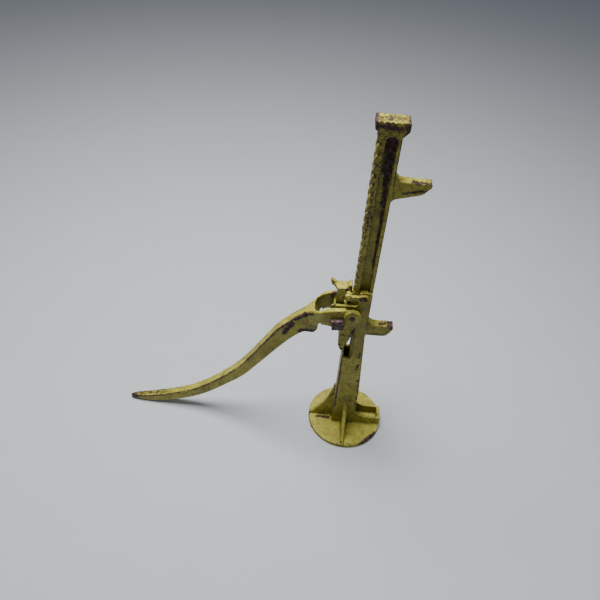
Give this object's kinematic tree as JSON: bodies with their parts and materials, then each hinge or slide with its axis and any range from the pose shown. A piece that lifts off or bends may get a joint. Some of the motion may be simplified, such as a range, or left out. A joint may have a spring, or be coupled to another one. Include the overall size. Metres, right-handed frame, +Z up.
{
  "type": "ratchet rack jack",
  "caption": "Lever-operated ratchet jack: round-footed column, sliding toothed rack bar with head and side toes, forked lever, lifting stirrup and holding dog with its keeper link.",
  "frame": {"origin": "centre of the round foot, on its flat underside", "axes": "+Z up along the rack bar, +X towards the side toes, the lever reaches out to -X and rests its tip on the ground, -Y is the front with the square bolt head"},
  "size_m": [0.7155, 0.203, 0.913],
  "materials": {
    "standard": "old yellow paint over rough iron, chipped to dark rust on edges and worn faces",
    "rack_bar": "old yellow paint over rough iron, chipped to dark rust on edges and worn faces",
    "lever": "old yellow paint over rough iron, chipped to dark rust on edges and worn faces",
    "lifting_dog": "old yellow paint over rough iron, chipped to dark rust on edges and worn faces",
    "holding_dog": "old yellow paint over rough iron, chipped to dark rust on edges and worn faces",
    "strap_front": "old yellow paint over rough iron, chipped to dark rust on edges and worn faces",
    "strap_back": "old yellow paint over rough iron, chipped to dark rust on edges and worn faces",
    "keeper_link": "thin worn yellow paint with rust showing through",
    "keeper_pin": "thin worn yellow paint with rust showing through",
    "lifting_dog_rivet_lower": "thin worn yellow paint with rust showing through",
    "lifting_dog_rivet_upper": "thin worn yellow paint with rust showing through",
    "fulcrum_bolt": "bare rusted iron, matte",
    "fulcrum_nut": "bare rusted iron, matte",
    "lift_pin_front": "bare rusted iron, matte",
    "lift_pin_back": "bare rusted iron, matte",
    "keeper_stud": "bare rusted iron, matte",
    "holding_dog_pivot": "bare rusted iron, matte",
    "fulcrum_washer": "dull bare steel",
    "fulcrum_sleeve": "dull bare steel",
    "fulcrum_cotter": "dull bare steel"
  },
  "bodies": {
    "standard": {"standard": "standard", "fulcrum_bolt": "fulcrum_bolt", "fulcrum_nut": "fulcrum_nut", "fulcrum_washer": "fulcrum_washer", "fulcrum_cotter": "fulcrum_cotter", "fulcrum_sleeve": "fulcrum_sleeve", "keeper_stud": "keeper_stud", "holding_dog_pivot": "holding_dog_pivot"},
    "rack": {"rack_bar": "rack_bar"},
    "lever": {"lever": "lever", "lift_pin_front": "lift_pin_front", "lift_pin_back": "lift_pin_back"},
    "lifting_dog": {"lifting_dog": "lifting_dog", "strap_front": "strap_front", "strap_back": "strap_back", "lifting_dog_rivet_lower": "lifting_dog_rivet_lower", "lifting_dog_rivet_upper": "lifting_dog_rivet_upper"},
    "holding_dog": {"holding_dog": "holding_dog", "keeper_pin": "keeper_pin"},
    "keeper_link": {"keeper_link": "keeper_link"}
  },
  "joints": [
    {"name": "rack_slide", "type": "slide", "parent": "standard", "child": "rack", "axis": [0, 0, 1], "range_m": [-0.3405, 0.0214]},
    {"name": "lever_swing", "type": "hinge", "parent": "standard", "child": "lever", "pos_m": [-0.059, 0, 0.42], "axis": [0, 1, 0], "range_deg": [0, 52]},
    {"name": "lifting_dog_swing", "type": "hinge", "parent": "lever", "child": "lifting_dog", "pos_m": [-0.026, 0, 0.442], "axis": [0, 1, 0], "range_deg": [-42, 0]},
    {"name": "holding_dog_tilt", "type": "hinge", "parent": "standard", "child": "holding_dog", "pos_m": [-0.06, 0, 0.4555], "axis": [0, -1, 0], "range_deg": [0, 8]},
    {"name": "keeper_link_swing", "type": "hinge", "parent": "holding_dog", "child": "keeper_link", "pos_m": [-0.0415, 0, 0.497], "axis": [0, 1, 0], "range_deg": [0, 12]}
  ],
  "couplings": [
    {"joint": "lifting_dog_swing", "follows": "lever_swing", "ratio": -0.75},
    {"joint": "keeper_link_swing", "follows": "holding_dog_tilt", "ratio": 1.46}
  ]
}
